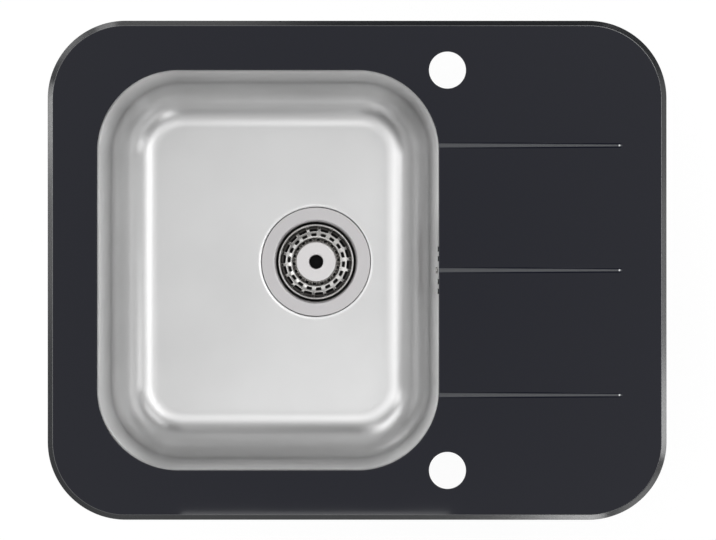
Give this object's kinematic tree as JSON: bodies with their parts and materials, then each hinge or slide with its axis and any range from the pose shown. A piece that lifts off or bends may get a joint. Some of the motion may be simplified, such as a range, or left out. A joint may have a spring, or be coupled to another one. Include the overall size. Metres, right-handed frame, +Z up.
{
  "type": "kitchen sink",
  "caption": "Inset kitchen sink: black glass top with bonded steel bowl, grooved drainer, tap holes, lift-out basket strainer waste, overflow and swivelling worktop clips.",
  "frame": {"origin": "centre of the sink's outline in the worktop seat plane, which is the underside of the sealing strip", "axes": "+Z up, +X from the bowl to the drainer, +Y towards the back of the worktop"},
  "size_m": [0.62, 0.5, 0.267],
  "materials": {
    "black_glass": "gloss",
    "bowl_steel": "satin",
    "strainer_steel": "satin",
    "basket_steel": "polished",
    "crown_steel": "brushed",
    "galvanised_steel": "satin",
    "zinc_steel": "satin",
    "foam_rubber": "matte",
    "black_rubber": "matte",
    "adhesive": "matte",
    "damping_pad": "matte",
    "white_plastic": "satin",
    "nut_plastic": "satin",
    "hose_plastic": "satin",
    "black_plastic": "matte",
    "brass": "satin"
  },
  "bodies": {
    "sink": {"glass_top": "black_glass", "edge_seal": "foam_rubber", "bowl": "bowl_steel", "bowl_bond": "adhesive", "sound_pad": "damping_pad", "rail_back": "galvanised_steel", "rail_front": "galvanised_steel", "rail_left": "galvanised_steel", "rail_right": "galvanised_steel", "rail_tapes": "adhesive", "channel_nuts": "zinc_steel", "strainer_dish": "strainer_steel", "flange_gasket": "foam_rubber", "floor_washer": "black_rubber", "waste_body": "white_plastic", "clamp_bolt": "strainer_steel", "bolt_insert": "brass", "overflow_housing": "white_plastic", "overflow_gasket": "foam_rubber", "overflow_screw": "strainer_steel", "overflow_hose": "hose_plastic", "hose_nut_upper": "nut_plastic", "hose_nut_lower": "nut_plastic", "hose_washers": "black_rubber"},
    "clip_screw_1": {"clip_screw_1": "zinc_steel"},
    "clip_arm_1": {"clip_arm_1": "zinc_steel"},
    "clip_screw_2": {"clip_screw_2": "zinc_steel"},
    "clip_arm_2": {"clip_arm_2": "zinc_steel"},
    "clip_screw_3": {"clip_screw_3": "zinc_steel"},
    "clip_arm_3": {"clip_arm_3": "zinc_steel"},
    "clip_screw_4": {"clip_screw_4": "zinc_steel"},
    "clip_arm_4": {"clip_arm_4": "zinc_steel"},
    "clip_screw_5": {"clip_screw_5": "zinc_steel"},
    "clip_arm_5": {"clip_arm_5": "zinc_steel"},
    "clip_screw_6": {"clip_screw_6": "zinc_steel"},
    "clip_arm_6": {"clip_arm_6": "zinc_steel"},
    "basket": {"basket": "basket_steel", "basket_crown": "crown_steel", "basket_hub": "black_plastic", "plug_seal": "black_rubber"}
  },
  "joints": [
    {"name": "basket_lift", "type": "slide", "parent": "sink", "child": "basket", "axis": [0, 0, 1], "range_m": [0, 0.24]},
    {"name": "clip_1_clamp", "type": "slide", "parent": "sink", "child": "clip_screw_1", "axis": [0, 0, 1], "range_m": [0, 0.012]},
    {"name": "clip_1_swivel", "type": "hinge", "parent": "clip_screw_1", "child": "clip_arm_1", "pos_m": [-0.17, 0.22775, -0.046], "axis": [0, 0, 1], "range_deg": [0, 90]},
    {"name": "clip_2_clamp", "type": "slide", "parent": "sink", "child": "clip_screw_2", "axis": [0, 0, 1], "range_m": [0, 0.012]},
    {"name": "clip_2_swivel", "type": "hinge", "parent": "clip_screw_2", "child": "clip_arm_2", "pos_m": [-0.0045, 0.22775, -0.046], "axis": [0, 0, -1], "range_deg": [0, 90]},
    {"name": "clip_3_clamp", "type": "slide", "parent": "sink", "child": "clip_screw_3", "axis": [0, 0, 1], "range_m": [0, 0.012]},
    {"name": "clip_3_swivel", "type": "hinge", "parent": "clip_screw_3", "child": "clip_arm_3", "pos_m": [-0.17, -0.22775, -0.046], "axis": [0, 0, -1], "range_deg": [0, 90]},
    {"name": "clip_4_clamp", "type": "slide", "parent": "sink", "child": "clip_screw_4", "axis": [0, 0, 1], "range_m": [0, 0.012]},
    {"name": "clip_4_swivel", "type": "hinge", "parent": "clip_screw_4", "child": "clip_arm_4", "pos_m": [-0.0045, -0.22775, -0.046], "axis": [0, 0, 1], "range_deg": [0, 90]},
    {"name": "clip_5_clamp", "type": "slide", "parent": "sink", "child": "clip_screw_5", "axis": [0, 0, 1], "range_m": [0, 0.012]},
    {"name": "clip_5_swivel", "type": "hinge", "parent": "clip_screw_5", "child": "clip_arm_5", "pos_m": [-0.28775, 0, -0.046], "axis": [0, 0, 1], "range_deg": [0, 90]},
    {"name": "clip_6_clamp", "type": "slide", "parent": "sink", "child": "clip_screw_6", "axis": [0, 0, 1], "range_m": [0, 0.012]},
    {"name": "clip_6_swivel", "type": "hinge", "parent": "clip_screw_6", "child": "clip_arm_6", "pos_m": [0.28775, 0, -0.046], "axis": [0, 0, -1], "range_deg": [0, 90]}
  ]
}
